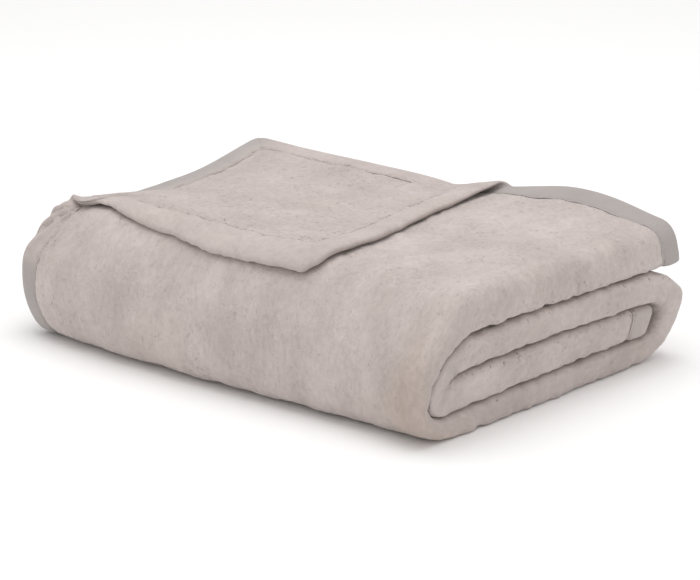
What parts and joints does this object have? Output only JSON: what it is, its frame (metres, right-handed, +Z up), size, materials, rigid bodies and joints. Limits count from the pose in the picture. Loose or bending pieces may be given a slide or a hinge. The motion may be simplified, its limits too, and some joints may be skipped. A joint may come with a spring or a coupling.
{
  "type": "raschel blanket",
  "caption": "Raschel plush blanket with taped edges, folded flat into a soft stack, with one corner of its outer ply turned back.",
  "frame": {"origin": "middle of the underside, on the surface that the folded blanket rests on", "axes": "+X along the folded width, from the end with the turned corner; +Y from the rounded front fold to the back; +Z up through the stack"},
  "size_m": [0.5972, 0.4212, 0.162],
  "materials": {
    "pile": "greige knitted plush, brushed pile with a soft sheen",
    "tape": "flat knitted binding tape, matt, a shade darker than the pile"
  },
  "bodies": {
    "root": {"pile_cloth": "pile", "binding_left": "tape", "binding_right": "tape", "binding_top": "tape", "binding_bottom": "tape"}
  },
  "joints": []
}
